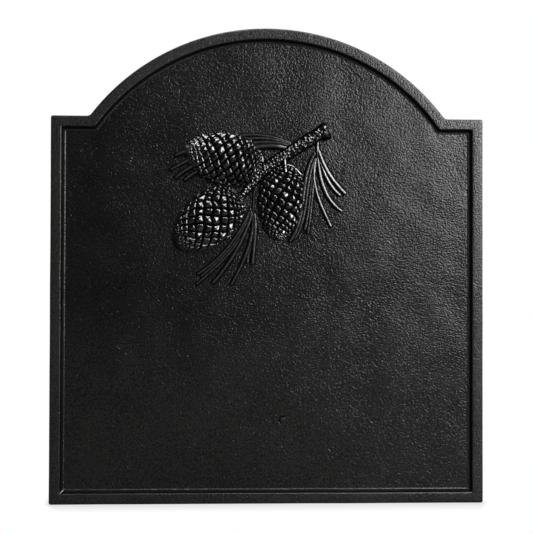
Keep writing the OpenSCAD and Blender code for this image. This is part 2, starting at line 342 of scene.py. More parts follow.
class Field:
    """A number that changes over a surface: arithmetic on it adds Math nodes to its tree."""

    def __init__(self, tree, socket):
        self.tree = tree
        self.socket = socket

    def math(self, operation, *others, first=None):
        values = (self, *others) if first is None else (first, self)
        return field(self.tree, "ShaderNodeMath", dict(enumerate(values)), operation=operation)

    def __add__(self, other):
        return self.math("ADD", other)

    def __sub__(self, other):
        return self.math("SUBTRACT", other)

    def __mul__(self, other):
        return self.math("MULTIPLY", other)

    def __truediv__(self, other):
        return self.math("DIVIDE", other)

    def __rsub__(self, other):
        return self.math("SUBTRACT", first=other)

    def __rtruediv__(self, other):
        return self.math("DIVIDE", first=other)

    __radd__ = __add__
    __rmul__ = __mul__

    def above(self, floor):
        """This number, or the floor where it is less."""
        return self.math("MAXIMUM", floor)

    def between(self, low, high, to_low=0.0, to_high=1.0):
        """Eased from to_low to to_high as this number goes from low to high."""
        return field(self.tree, "ShaderNodeMapRange", {
            "Value": self, "From Min": low, "From Max": high, "To Min": to_low, "To Max": to_high,
        }, interpolation_type="SMOOTHSTEP")


def field(tree, kind, inputs=None, output=0, **settings):
    """The number that a new node puts out."""
    return Field(tree, add_node(tree, kind, inputs, **settings).outputs[output])


def parts(tree, vector):
    """The three parts of a vector."""
    return [Field(tree, part) for part in add_node(
        tree, "ShaderNodeSeparateXYZ", {0: vector}).outputs]


def vector(tree, x=0.0, y=0.0, z=0.0):
    """A vector made of three numbers."""
    return add_node(tree, "ShaderNodeCombineXYZ", {0: x, 1: y, 2: z}).outputs[0]


def new_group(name, kind, inputs, outputs):
    """An empty node tree with named inputs and outputs, and its input sockets by name."""
    tree = bpy.data.node_groups.new(name, kind)
    for socket_name, socket_kind, value in inputs:
        socket = tree.interface.new_socket(
            name=socket_name, in_out="INPUT", socket_type="NodeSocket" + socket_kind)
        if value is not None:
            socket.default_value = value
    for socket_name, socket_kind in outputs:
        tree.interface.new_socket(
            name=socket_name, in_out="OUTPUT", socket_type="NodeSocket" + socket_kind)
    entry = tree.nodes.new("NodeGroupInput")
    return tree, {
        name: Field(tree, entry.outputs[name]) if socket_kind == "Float" else entry.outputs[name]
        for name, socket_kind, _ in inputs
    }


# The sand of the mould leaves a fine pebbled skin with a few pits, which the paint softens.
swells_per_metre = 110.0
clouds_per_metre = 13.0
cast_skin, skin_in = new_group(
    "cast skin", "ShaderNodeTree",
    [("Position", "Vector", None), ("Grain Size", "Float", 1.4 * mm),
     ("Grain Height", "Float", 0.1 * mm), ("Pit Depth", "Float", 0.1 * mm),
     ("Swell Height", "Float", 0.05 * mm)],
    [("Height", "Float"), ("Grain", "Float"), ("Clouds", "Float")],
)
grains_per_metre = 1.0 / skin_in["Grain Size"]
grain = field(cast_skin, "ShaderNodeTexNoise", {
    "Vector": skin_in["Position"], "Scale": grains_per_metre, "Detail": 1.0, "Roughness": 0.4,
}).between(0.28, 0.72)
pits = field(cast_skin, "ShaderNodeTexVoronoi", {
    "Vector": skin_in["Position"], "Scale": grains_per_metre * 0.5,
}, feature="SMOOTH_F1").between(0.05, 0.35)
swell = field(cast_skin, "ShaderNodeTexNoise", {
    "Vector": skin_in["Position"], "Scale": swells_per_metre, "Detail": 1.0,
})
clouds = field(cast_skin, "ShaderNodeTexNoise", {
    "Vector": skin_in["Position"], "Scale": clouds_per_metre, "Detail": 3.0, "Roughness": 0.6,
})
add_node(cast_skin, "NodeGroupOutput", {
    "Height": skin_in["Grain Height"] * grain + skin_in["Pit Depth"] * pits
    + skin_in["Swell Height"] * swell,
    "Grain": grain, "Clouds": clouds,
})

cloud_gloss = 0.12
grain_gloss = 0.06
off_crest_roughness = 0.35
painted_light_heights = (100 * mm, 250 * mm)


def black_paint(name, colour, roughness, grain_size, grain_height, pit_depth, swell_height,
                coat=0.0, coat_ior=1.5, coat_roughness=0.2, specular=0.5, grain_shade=0.5,
                cloud_shade=0.25, painted_light_low_down=0.0, painted_shade_attribute=None, off_crest_painted_shade=0.25):
    """Heat-proof black paint on cast iron: duller in the pits and clouded by the spray.

    The sizes of the skin are in millimetres. The paint can be made paler near the ground, which
    is painted light from below. The named attribute is 1 on the crests and 0 in the hollows and
    on the flanks, where the colour is painted darker as shade, and the paint is rougher and
    loses its coat.
    """
    material = bpy.data.materials.new(name)
    material.use_nodes = True
    tree = material.node_tree
    shader = tree.nodes["Principled BSDF"]
    place = add_node(tree, "ShaderNodeTexCoord").outputs["Object"]
    skin = add_node(tree, "ShaderNodeGroup", {
        "Position": place, "Grain Size": grain_size * mm, "Grain Height": grain_height * mm,
        "Pit Depth": pit_depth * mm, "Swell Height": swell_height * mm,
    }, node_tree=cast_skin)
    skin_grain = Field(tree, skin.outputs["Grain"])
    skin_clouds = Field(tree, skin.outputs["Clouds"])

    shade = skin_clouds.between(0.25, 0.75, 1 - cloud_shade, 1 + cloud_shade) * (
        1 - grain_shade + 2 * grain_shade * skin_grain)
    gloss = roughness + (skin_clouds - 0.5) * cloud_gloss - (skin_grain - 0.5) * grain_gloss
    polish = coat * (0.5 + 0.5 * skin_grain)
    # Painted light: the paint is made paler towards the ground.
    if painted_light_low_down:
        shade = shade * parts(tree, place)[2].between(*painted_light_heights, 1 + painted_light_low_down, 1.0)
    # Painted shade: off the crests the colour is darkened, and the paint is rougher and loses its
    # coat.
    if painted_shade_attribute:
        crests = field(tree, "ShaderNodeAttribute", output="Fac", attribute_name=painted_shade_attribute)
        shade = shade * crests.between(0.0, 1.0, off_crest_painted_shade, 1.0)
        gloss = gloss + off_crest_roughness * (1.0 - crests)
        polish = polish * crests

    # The tint reaches three times the colour, so that the shade can go above 1.
    tint = add_node(tree, "ShaderNodeMix", {
        0: shade / 3.0, 6: (0, 0, 0, 1), 7: tuple(3 * c for c in colour) + (1,),
    }, data_type="RGBA")
    bump = add_node(tree, "ShaderNodeBump", {
        "Strength": 1.0, "Distance": 1.0, "Height": skin.outputs["Height"],
    })
    connect(tree, tint.outputs[2], shader.inputs["Base Color"])
    connect(tree, gloss, shader.inputs["Roughness"])
    connect(tree, bump.outputs[0], shader.inputs["Normal"])
    shader.inputs["Specular IOR Level"].default_value = specular
    if coat:
        connect(tree, polish, shader.inputs["Coat Weight"])
        connect(tree, bump.outputs[0], shader.inputs["Coat Normal"])
        shader.inputs["Coat Roughness"].default_value = coat_roughness
        shader.inputs["Coat IOR"].default_value = coat_ior
    return material


# The plate's paint is made paler towards the bottom, which is painted light.
plate_paint = black_paint(
    "plate_paint", (0.0052, 0.0052, 0.0049), 0.23, grain_size=1.85, grain_height=0.155,
    pit_depth=0.11, swell_height=0.08, grain_shade=0.75, painted_light_low_down=1.3,
)
plate = piece("back_plate_casting", plate_mesh, plate_paint)
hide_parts("back_plate")


# ---------------------------------------------------------------------------------------------
# The rim. A flat band with softened edges round the whole plate, and a thin bead at the foot of
# its inner wall. It is part of the same casting, so it runs flush with the plate's sides.
# ---------------------------------------------------------------------------------------------
# Its section: inset and height in millimetres, and 1 where the paint keeps its colour; at 0, on
# the inner wall, in the hollow and at the foot, the paint is painted darker as shade.
rim_profile = [
    (0.3, -0.6, 1), (0, 0, 1), (0, 4.55, 1), (0.35, 4.72, 1), (1.4, 4.92, 1), (2.8, 4.99, 1),
    (6.8, 4.93, 1), (10.8, 4.99, 1), (11.8, 4.88, 1), (12.2, 4.62, 1), (12.5, 4.2, 0.2),
    (12.8, 3.7, 0), (13.4, 2.3, 0), (14.0, 1.3, 0), (14.7, 0.72, 0), (15.3, 0.6, 0),
    (15.8, 0.56, 0.3), (16.3, 0.48, 1), (16.8, 0.34, 1), (17.2, 0.17, 0.4), (17.7, -0.1, 0),
    (18.0, -0.6, 0),
]
rim_height = 5.0
rim_sway = 0.1
rim_sway_wave = 45 * mm
rim_sway_insets = (0.4, 17.5)

rim_rings = []
for inset, height, _ in rim_profile:
    ring = []
    for p in outline(inset * mm):
        q = hand_cut(p)
        sway = 0
        if rim_sway_insets[0] < inset < rim_sway_insets[1]:
            sway = rim_sway * ripple(q.x, q.y, rim_sway_wave, inset)
        ring.append(on_front(q, (height + min(sway, rim_height - height)) * mm))
    rim_rings.append(ring)
rim_mesh = loft("rim_casting", rim_rings + [rim_rings[0]], close_ends=False)
rim_crests = rim_mesh.attributes.new("crests", "FLOAT", "POINT")
for k, value in enumerate(rim_crests.data):
    value.value = rim_profile[k // len(rim_rings[0]) % len(rim_profile)][2]
rim_paint = black_paint(
    "rim_paint", (0.017, 0.0168, 0.016), 0.27, grain_size=1.7, grain_height=0.12,
    pit_depth=0.1, swell_height=0.08, grain_shade=0.65, coat=1.0, coat_ior=1.58,
    coat_roughness=0.27, specular=0.1, painted_shade_attribute="crests",
)
rim = piece("rim_casting", rim_mesh, rim_paint, smooth_angle=50)
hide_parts("rim_moulding")


# ---------------------------------------------------------------------------------------------
# The pine cones. Half-round bodies covered in rhombic scales in two crossing spirals, carved in
# the pattern and cast with the plate. Each scale is a blunt pyramid, highest towards the tip.
# ---------------------------------------------------------------------------------------------
cone_rise = 12.8 * mm
scale_rise = 3 * mm
groove_depth = 2 * mm
roughcast_height = 0.35 * mm
foot_flare = 0.5 * mm
foot_depth = 0.5 * mm

cone_tree, cone_in = new_group(
    "pine cone", "GeometryNodeTree",
    [("Length", "Float", 90 * mm), ("Width", "Float", 60 * mm), ("Rise", "Float", cone_rise),
     ("Fullness", "Float", 0.12), ("Across 1", "Float", 9 * mm), ("Along 1", "Float", 6 * mm),
     ("Across 2", "Float", -7 * mm), ("Along 2", "Float", 5 * mm),
     ("Scale Rise", "Float", scale_rise), ("Groove", "Float", groove_depth),
     ("Crest 1", "Float", 0.17), ("Crest 2", "Float", 0.17), ("Roundness", "Float", 0.0),
     ("Wall Share", "Float", 0.5), ("Dome", "Float", 0.0), ("Wander", "Float", 7 * mm),
     ("Base X", "Float", 0.0), ("Base Z", "Float", 0.0), ("Heading", "Float", 0.0),
     ("Seed", "Float", 0.0), ("Paint", "Material", None)],
    [("Cone", "Geometry")],
)
cone_net = add_node(cone_tree, "GeometryNodeMeshGrid", {
    "Size X": 1.0, "Size Y": 1.0, "Vertices X": 161, "Vertices Y": 221,
})
net_across, net_along, _ = parts(cone_tree, add_node(
    cone_tree, "GeometryNodeInputPosition").outputs[0])
# Turn runs round the axis from one foot to the other, and ride along it from stalk to tip.
turn = net_across * math.pi
ride = net_along * 5.2
flank = turn * cone_in["Width"] * 0.5
reach = ride * cone_in["Length"] * 0.5
# The rows were cut by hand, so they wander.
wander_flank, wander_reach, _ = parts(cone_tree, add_node(cone_tree, "ShaderNodeTexNoise", {
    "Vector": vector(cone_tree, flank, reach, cone_in["Seed"]), "Scale": 75.0, "Detail": 1.0,
}).outputs["Color"])
row_flank = flank + (wander_flank - 0.5) * cone_in["Wander"]
row_reach = reach + (wander_reach - 0.5) * cone_in["Wander"]
cell = cone_in["Across 1"] * cone_in["Along 2"] - cone_in["Across 2"] * cone_in["Along 1"]
first = (row_flank * cone_in["Along 2"] - row_reach * cone_in["Across 2"]) / cell
second = (row_reach * cone_in["Across 1"] - row_flank * cone_in["Along 1"]) / cell
first_whole = first.math("ROUND")
second_whole = second.math("ROUND")
first_part = first - first_whole
second_part = second - second_whole
luck = field(cone_tree, "ShaderNodeTexWhiteNoise", {
    "Vector": vector(cone_tree, first_whole, second_whole, cone_in["Seed"]),
}, noise_dimensions="3D")
other_luck = (luck * 17.0).math("FRACT")


def lean(part, crest_at):
    """Draws a cell's part to one side, so that its two slopes meet at the crest."""
    long_slope = 0.5 / (0.5 + crest_at)
    short_slope = 0.5 / (0.5 - crest_at)
    past_crest = (part - crest_at).above(0.0)
    return (part - crest_at) * long_slope + past_crest * (short_slope - long_slope)


first_lean = lean(first_part, cone_in["Crest 1"])
second_lean = lean(second_part, cone_in["Crest 2"])
square = first_lean.math("ABSOLUTE").math("SMOOTH_MAX", second_lean.math("ABSOLUTE"), 0.02)
round_off = (first_lean * first_lean + second_lean * second_lean).math("SQRT")
pyramid = 1.0 - 2.0 * (square + cone_in["Roundness"] * (round_off - square))
# Steep walls rise from the grooves, and four flatter facets lead on to the crest. The scales
# near the stalk are domed, and the dome gives way to facets towards the tip.
domed = cone_in["Dome"] + (1.0 - cone_in["Dome"]) * ride.between(-0.7, 0.4, 1.0, 0.0)
facets = pyramid.math("SMOOTH_MIN", 0.93, 0.07)
dome = 1.0 - (1.0 - pyramid) * (1.0 - pyramid)
crest = cone_in["Wall Share"] * pyramid.between(0.03, 0.32) + (
    1.0 - cone_in["Wall Share"]) * (facets + domed * (dome - facets))
tilt = (first_part + second_part) * (other_luck - 0.35) + (first_part - second_part) * (luck - 0.5)
scale_lift = cone_in["Scale Rise"] * crest * (0.78 + 0.1 * luck + tilt * 1.2)
grooves = cone_in["Groove"] * pyramid.between(0.0, 0.22, 1.0, 0.0)
scaly = ride.between(-1.95, -1.7) * turn.math("ABSOLUTE").between(1.42, 1.56, 1.0, 0.0)
roughcast = field(cone_tree, "ShaderNodeTexNoise", {
    "Vector": vector(cone_tree, flank, reach), "Scale": 420.0, "Detail": 1.0,
}) - 0.5
lift = (scale_lift - grooves) * scaly + roughcast * roughcast_height
ease = ride.math("TANH")
share = (1.0 - cone_in["Fullness"] * ease) / ride.math("COSH")
along = cone_in["Length"] * 0.5 + (cone_in["Length"] * 0.5 + lift) * ease
aside = (cone_in["Width"] * 0.5 + lift) * share * turn.math("SINE")
stand = (cone_in["Rise"] + lift) * share * turn.math("COSINE")
heading_cos = cone_in["Heading"].math("COSINE")
heading_sin = cone_in["Heading"].math("SINE")
cone_place = vector(
    cone_tree, cone_in["Base X"] + along * heading_cos - aside * heading_sin,
    panel_front - stand, cone_in["Base Z"] + along * heading_sin + aside * heading_cos,
)
# Painted shade: the hollows between the scales are marked to be painted darker and left without
# gloss, and the tip is marked to be painted darker than the rest.
cone_marked = add_node(cone_tree, "GeometryNodeStoreNamedAttribute", {
    "Geometry": cone_net.outputs["Mesh"], "Name": "crests",
    "Value": pyramid.between(0.1, 0.34) * ride.between(1.4, 2.1, 1.0, 0.3),
})
cone_shape = add_node(cone_tree, "GeometryNodeSetPosition", {
    "Geometry": cone_marked.outputs[0], "Position": cone_place,
})


def finish_tree(tree, shape, paint):
    """Ends a geometry tree: its copies made real, and its paint on every face."""
    real = add_node(tree, "GeometryNodeRealizeInstances", {0: shape.outputs[0]})
    painted = add_node(tree, "GeometryNodeSetMaterial", {
        "Geometry": real.outputs[0], "Material": paint,
    })
    add_node(tree, "NodeGroupOutput", {0: painted.outputs[0]})


finish_tree(cone_tree, cone_shape, cone_in["Paint"])


def grow(name, tree, sizes):
    """The plain mesh that a Geometry Nodes tree makes from these sizes."""
    start = put_in_scene(name + "_start", bpy.data.meshes.new(name + "_start"))
    modifier = start.modifiers.new("grow", "NODES")
    modifier.node_group = tree
    for item in tree.interface.items_tree:
        if item.in_out == "INPUT" and item.name in sizes:
            modifier[item.identifier] = sizes[item.name]
    depsgraph = bpy.context.evaluated_depsgraph_get()
    mesh = bpy.data.meshes.new_from_object(start.evaluated_get(depsgraph), depsgraph=depsgraph)
    start.modifiers.clear()
    bpy.data.objects.remove(start)
    mesh.name = name
    return mesh


def sink_foot(mesh):
    """Closes a cast shape's open back a little below the panel's face, with a flared foot."""
    work = bmesh.new()
    work.from_mesh(mesh)
    bmesh.ops.remove_doubles(work, verts=work.verts, dist=1e-6)
    rim_edges = [e for e in work.edges if e.is_boundary]
    middle = sum((v.co for e in rim_edges for v in e.verts), Vector()) / (2 * len(rim_edges))
    made = bmesh.ops.extrude_edge_only(work, edges=rim_edges)
    for vert in made["geom"]:
        if isinstance(vert, bmesh.types.BMVert):
            out = Vector((vert.co.x - middle.x, 0, vert.co.z - middle.z))
            vert.co += out.normalized() * foot_flare
            vert.co.y = panel_front + foot_depth
    bmesh.ops.holes_fill(work, edges=[e for e in work.edges if e.is_boundary])
    work.to_mesh(mesh)
    work.free()
    return mesh


# The relief's paint is much darker than the plate's, which is painted shade, and its hollows are
# darker still.
relief_paint = black_paint(
    "relief_paint", (0.0012, 0.0012, 0.0012), 0.25, grain_size=1.7, grain_height=0.02,
    pit_depth=0.01, swell_height=0.02, coat=1.0, coat_ior=2.3, coat_roughness=0.14, specular=0.1,
    grain_shade=0.3, painted_shade_attribute="crests",
)
# The root, the heading in degrees, the length and the width of each cone, the two steps from a
# scale to its neighbours, and the places of its crests, how round they are and how domed.
cones = {
    "cone_upper": ((-8.5, 392.5), 166, 90, 61, (8.8, 5.9), (-7.4, 4.8), (0.17, 0.17, 0.0, 0.0)),
    "cone_lower": ((-34, 360), 218.5, 93, 59, (7.4, 6.0), (-6.3, 7.8), (0.17, 0.17, 0.1, 0.0)),
    "cone_right": ((19, 396), 265, 87, 51, (8.9, 4.0), (-4.1, 8.4), (0.0, 0.1, 0.6, 0.4)),
}
for seed, (node, (root, heading, length, width, step_1, step_2, cut)) in enumerate(cones.items()):
    mesh = grow(node + "_casting", cone_tree, {
        "Length": length * mm, "Width": width * mm,
        "Across 1": step_1[0] * mm, "Along 1": step_1[1] * mm,
        "Across 2": step_2[0] * mm, "Along 2": step_2[1] * mm,
        "Crest 1": cut[0], "Crest 2": cut[1], "Roundness": cut[2], "Dome": cut[3],
        "Base X": root[0] * mm, "Base Z": root[1] * mm,
        "Heading": math.radians(heading), "Seed": float(seed), "Paint": relief_paint,
    })
    cone = piece(node + "_casting", sink_foot(mesh), relief_paint, smooth_angle=60)
    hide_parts(node)


# ---------------------------------------------------------------------------------------------
# The branch. A knobbly limb with a flared, sawn end, a fork that carries the lower cone and two
# short stalks, cast with the plate. Its bark is cut in the pattern as rows of small knobs.
# ---------------------------------------------------------------------------------------------
branch_width = 15 * mm
branch_rise = 9 * mm
branch_peak = 0.45
# The direction, along the plate, of the side that faces the key lamp.
bright_side = (0.89, 0.0, 0.45)
limb_sink = 1.5 * mm
# How much darker the groove round a knob is painted, as shade, for each metre of its depth.
groove_shade = 1200.0

limb_tree, limb_in = new_group(
    "barked limb", "GeometryNodeTree",
    [("Route", "Object", None), ("Full Width", "Float", branch_width),
     ("Rise", "Float", branch_rise), ("Bark Height", "Float", 0.5 * mm),
     ("Bark Size", "Float", 3.7 * mm), ("End Round", "Float", 0.3 * mm),
     ("Peak", "Float", 1.0), ("Painted Shade Below", "Float", 0.66), ("Knob Tilt", "Float", 0.27),
     ("Knob Groove", "Float", 0.7 * mm), ("Paint", "Material", None)],
    [("Limb", "Geometry")],
)
limb_route = add_node(limb_tree, "GeometryNodeObjectInfo", {"Object": limb_in["Route"]})
limb_smooth = add_node(limb_tree, "GeometryNodeCurveSplineType", {
    "Curve": limb_route.outputs["Geometry"],
}, spline_type="CATMULL_ROM")
limb_even = add_node(limb_tree, "GeometryNodeResampleCurve", {
    "Curve": limb_smooth.outputs[0], "Length": 0.7 * mm,
}, mode="LENGTH")
limb_ring = add_node(limb_tree, "GeometryNodeCurvePrimitiveCircle", {
    "Resolution": 56, "Radius": 1.0,
})
# The radius runs out in a quarter round at both ends.
limb_travel = field(limb_tree, "GeometryNodeSplineParameter", output="Length")
limb_length = field(limb_tree, "GeometryNodeSplineLength", output="Length")
from_end = limb_travel.math("MINIMUM", limb_length - limb_travel) / limb_in["End Round"]
to_round = (1.0 - from_end).above(0.0)
end_round = (1.0 - to_round * to_round).above(0.0).math("SQRT")
limb_radius = field(limb_tree, "GeometryNodeInputRadius")
limb_point = add_node(limb_tree, "GeometryNodeInputPosition").outputs[0]
limb_kept = add_node(limb_tree, "GeometryNodeCaptureAttribute", {
    "Geometry": limb_even.outputs[0],
})
for kind, name, value in (
    ("FLOAT", "Radius", (limb_radius * end_round).above(1e-5)),
    ("FLOAT", "Lean", field(limb_tree, "GeometryNodeInputCurveTilt")),
    ("FLOAT", "Ends", limb_travel.between(0.5 * mm, 3 * mm, 0.2, 1.0)),
    ("VECTOR", "Centre", limb_point),
):
    limb_kept.capture_items.new(kind, name)
    connect(limb_tree, value, limb_kept.inputs[name])
limb_thickness = Field(limb_tree, limb_kept.outputs["Radius"])
limb_skin = add_node(limb_tree, "GeometryNodeCurveToMesh", {
    "Curve": limb_kept.outputs["Geometry"], "Profile Curve": limb_ring.outputs[0],
    "Scale": limb_thickness, "Fill Caps": True,
})

# The bark's knobs and flakes stand out of the round limb, most where it is stout.
knobs_per_metre = 1.0 / limb_in["Bark Size"]
knobs = field(limb_tree, "ShaderNodeTexVoronoi", {
    "Vector": limb_point, "Scale": knobs_per_metre,
}, feature="SMOOTH_F1").between(0.1, 0.75, 1.0, 0.0)
flakes = field(limb_tree, "ShaderNodeTexNoise", {
    "Vector": limb_point, "Scale": 420.0, "Detail": 2.0,
}) - 0.5
fullness = (limb_thickness * 3.0 / limb_in["Full Width"]).math("MINIMUM", 1.0)
bark = limb_in["Bark Height"] * (knobs - 0.75 + flakes * 0.8) * fullness * fullness * Field(
    limb_tree, limb_kept.outputs["Ends"])
bark_step = add_node(limb_tree, "ShaderNodeVectorMath", {
    0: add_node(limb_tree, "GeometryNodeInputNormal").outputs[0], "Scale": bark,
}, operation="SCALE")
limb_barked = add_node(limb_tree, "GeometryNodeSetPosition", {
    "Geometry": limb_skin.outputs[0], "Offset": bark_step.outputs[0],
})


def towards_bright_side(origin):
    """How far a point of the limb lies beyond an origin, towards the bright side."""
    offset = add_node(limb_tree, "ShaderNodeVectorMath", {
        0: limb_point, 1: origin,
    }, operation="SUBTRACT")
    return field(limb_tree, "ShaderNodeVectorMath", {
        0: offset.outputs[0], 1: bright_side,
    }, "Value", operation="DOT_PRODUCT")


# A peak of 1 keeps the half-round section and a lower one flattens its top. The lean tips the
# top towards the bright side, and the underside is drawn in below the panel's face.
limb_x, limb_y, limb_z = parts(limb_tree, limb_point)
limb_middle = parts(limb_tree, limb_kept.outputs["Centre"])[1]
limb_height = panel_front - limb_middle
limb_depth = limb_middle - limb_y
limb_share = (limb_depth / limb_thickness).above(0.0)
limb_under = (limb_depth / limb_thickness * -1.0).above(0.0)
limb_stand = limb_thickness * limb_share.math("POWER", limb_in["Peak"]) * limb_in["Rise"] * (
    2.0) / limb_in["Full Width"] + limb_height
limb_stand = limb_stand - (limb_height + limb_sink) * limb_under.math("POWER", 0.35)
limb_stand = limb_stand - towards_bright_side(limb_kept.outputs["Centre"]) * Field(
    limb_tree, limb_kept.outputs["Lean"])
# Each knob of the bark is cut flat, at a tilt of its own, with a groove round it.
limb_knobs = add_node(limb_tree, "ShaderNodeTexVoronoi", {
    "Vector": limb_point, "Scale": knobs_per_metre,
})
knob_luck = parts(limb_tree, limb_knobs.outputs["Color"])[0]
knob_edge = Field(limb_tree, limb_knobs.outputs["Distance"]).between(0.38, 0.62)
knob_aside = towards_bright_side(limb_knobs.outputs["Position"])
stout = fullness.between(0.55, 0.85)
limb_cut = knob_aside * limb_in["Knob Tilt"] * (0.4 + 1.2 * knob_luck) + (
    limb_in["Knob Groove"] * knob_edge)
limb_stand = limb_stand - limb_cut * stout * limb_share.between(0.45, 0.8)
# Painted shade: the crests keep the paint's colour, while the flanks below the given share of the
# section and the grooves round the knobs are marked to be painted darker.
limb_crests = limb_share.between(limb_in["Painted Shade Below"], limb_in["Painted Shade Below"] * 0.5 + 0.5) * (
    1.0 - knob_edge * stout * limb_in["Knob Groove"] * groove_shade)
limb_marked = add_node(limb_tree, "GeometryNodeStoreNamedAttribute", {
    "Geometry": limb_barked.outputs[0], "Name": "crests", "Value": limb_crests,
})
limb_flat = add_node(limb_tree, "GeometryNodeSetPosition", {
    "Geometry": limb_marked.outputs[0],
    "Position": vector(limb_tree, limb_x, panel_front - limb_stand, limb_z),
})
finish_tree(limb_tree, limb_flat, limb_in["Paint"])


def grow_limbs(name, lines, sizes, paint):
    """Limbs along lines of (x, z, radius, lift off the panel) in millimetres, and the lean."""
    data = bpy.data.curves.new(name + "_route", "CURVE")
    data.dimensions = "3D"
    for line in lines:
        spline = data.splines.new("POLY")
        spline.points.add(len(line) - 1)
        for point, (x, z, radius, *rest) in zip(spline.points, line):
            lift, lean_by = (rest + [0, 0])[:2]
            point.co = (x * mm, panel_front - lift * mm, z * mm, 1)
            point.radius = radius * mm
            point.tilt = lean_by
    route = put_in_scene(name + "_route", data)
    mesh = grow(name, limb_tree, {**sizes, "Route": route, "Paint": paint})
    bpy.data.objects.remove(route)
    return piece(name, mesh, paint, smooth_angle=60)


limbs = {
    "limb": [
        (71.5, 437.9, 9.3), (70, 437.3, 9.9), (68.2, 436.7, 10.4), (66.4, 436.0, 10.6),
        (64.5, 435.3, 10.0), (61, 434, 8.6), (56, 431, 8.0), (50, 427, 8.4), (34, 417, 8.0),
        (20, 407.5, 7.5), (5, 398, 7.6), (-7, 389, 7.1),
    ],
    "fork": [(-3, 392, 6.6), (-9, 386, 6.0), (-16, 377, 5.4), (-24, 367, 4.9), (-36, 354, 4.5)],
    "right cone's stalk": [
        (18.6, 404.5, 2.6, 6.8, 0.2), (18.9, 401, 2.8, 7.2, 0.2), (19.3, 396, 2.9, 7.6, 0.2),
        (19.7, 391, 3.1, 8.4, 0.2), (20, 386.5, 2.6, 9.0, 0.2),
    ],
    "upper cone's stalk": [(0, 395, 5.8), (-7, 393, 5.4), (-14, 391, 5.2)],
    "right cone's root": [
        (21, 397, 1.6, 2.0, 0.36), (31, 393.5, 2.0, 2.5, 0.36), (39.5, 385, 1.6, 2.0, 0.36),
    ],
    "upper cone's root": [
        (-8.5, 411, 1.6, 2.0, 0.36), (-6.2, 401, 2.2, 2.5, 0.36), (-10, 391, 1.6, 2.0, 0.36),
    ],
    "edge of the saw cut": [
        (72.2, 440, 0.6, 3.0, 0.4), (73.2, 434, 0.8, 3.0, 0.4), (74.2, 428, 0.6, 2.0, 0.4),
    ],
}
branch = grow_limbs("branch_casting", limbs.values(), {"Peak": branch_peak}, relief_paint)
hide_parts("branch")


# ---------------------------------------------------------------------------------------------
# The drop in the mitre. A small ridge of iron that ran into a crack of the mould, up the lower
# left corner of the rim's wall. It is part of the casting and painted with it.
# ---------------------------------------------------------------------------------------------
drop_line = [
    (-236.8, 17.2, 0.75, 0.6, 0), (-239.4, 14.6, 0.9, 2.0, 0), (-242.0, 12.0, 0.75, 3.6, 0),
]
smooth_bark = {"Knob Tilt": 0.0, "Knob Groove": 0.0}
drop = grow_limbs("mitre_drop_casting", [drop_line], {
    "Full Width": 1.8 * mm, "Rise": 0.7 * mm, "Bark Height": 0.1 * mm, "Painted Shade Below": 0.3,
    **smooth_bark,
}, relief_paint)


# ---------------------------------------------------------------------------------------------
# The needles. Four bunches of long, bent needles, each a half-round ridge that tapers at both
# ends, cast with the plate. Two bunches grow out of a sheath on the branch.
# ---------------------------------------------------------------------------------------------
needle_width = 5.2
needle_sizes = {
    "Full Width": needle_width * mm, "Rise": 3.1 * mm, "Peak": 0.3, "End Round": 2 * mm,
    "Bark Height": 0.12 * mm, "Bark Size": 3 * mm, "Painted Shade Below": 0.93, **smooth_bark,
}
needle_steps = 16
# Each needle's root, its two bends, its tip and its share of the full width.
needle_bunches = {
    "needles_top": [
        ((28, 421.5), (8, 431), (-16, 434), (-36, 430), 0.9),
        ((28, 420), (8, 429), (-15, 429), (-34, 426), 0.9),
        ((27, 418.5), (10, 424.5), (-5, 424), (-20, 422), 0.9),
        ((25, 415.5), (10, 420.5), (-3.5, 419), (-18, 416.5), 1.6),
    ],
    "needles_left": [
        ((-84, 413), (-93.5, 413.5), (-102.5, 410.5), (-110.5, 406), 1.2),
        ((-72, 408), (-88, 406), (-101.5, 397), (-115.5, 389.5), 1.15),
        ((-72, 400), (-87, 396), (-99, 390), (-109.5, 379.5), 1.15),
        ((-70, 394), (-80.5, 390), (-90.5, 385), (-99, 377), 1.15),
    ],
    "needles_bottom": [
        ((-20, 346), (-33, 313.5), (-53.5, 286), (-83.5, 267), 1.0),
        ((-19.5, 344), (-33, 305.5), (-49, 290), (-79.5, 264.5), 0.9),
        ((-19, 342), (-28.5, 304), (-56, 279.5), (-84.5, 255.5), 1.0),
        ((-18.5, 340), (-28, 309), (-43.5, 280.5), (-65.5, 256.5), 1.2),
        ((-18, 338), (-15.5, 308.5), (-29.5, 280), (-43.5, 254.5), 1.1),
        ((-17.5, 336), (-12.5, 316.5), (-24, 299), (-24, 280), 0.9),
        ((-16, 340), (-13, 319.5), (-17.5, 298.5), (-18, 278), 1.2),
    ],
    "needles_right": [
        ((59.5, 416), (64.5, 395.5), (77, 376.5), (92.5, 362.5), 1.35),
        ((59, 411), (64, 393), (70.5, 372), (86.5, 360.5), 1.1),
        ((58.5, 408), (60.5, 383.5), (65.5, 355.5), (88.5, 342), 1.15),
        ((60.5, 392), (65.5, 379), (68.5, 364), (78, 353), 0.8),
        ((57, 406), (47.5, 376.5), (62.5, 349), (75, 323), 1.0),
        ((56, 402), (52.5, 372.5), (51.5, 344), (46.5, 314), 1.0),
        ((55.5, 402), (49, 375), (50, 346.5), (43, 319), 0.9),
        ((55.5, 405), (42.5, 375), (49, 339), (31.5, 309), 1.0),
        ((56, 412), (35, 380), (48.5, 337.5), (25, 305.5), 1.2),
    ],
}
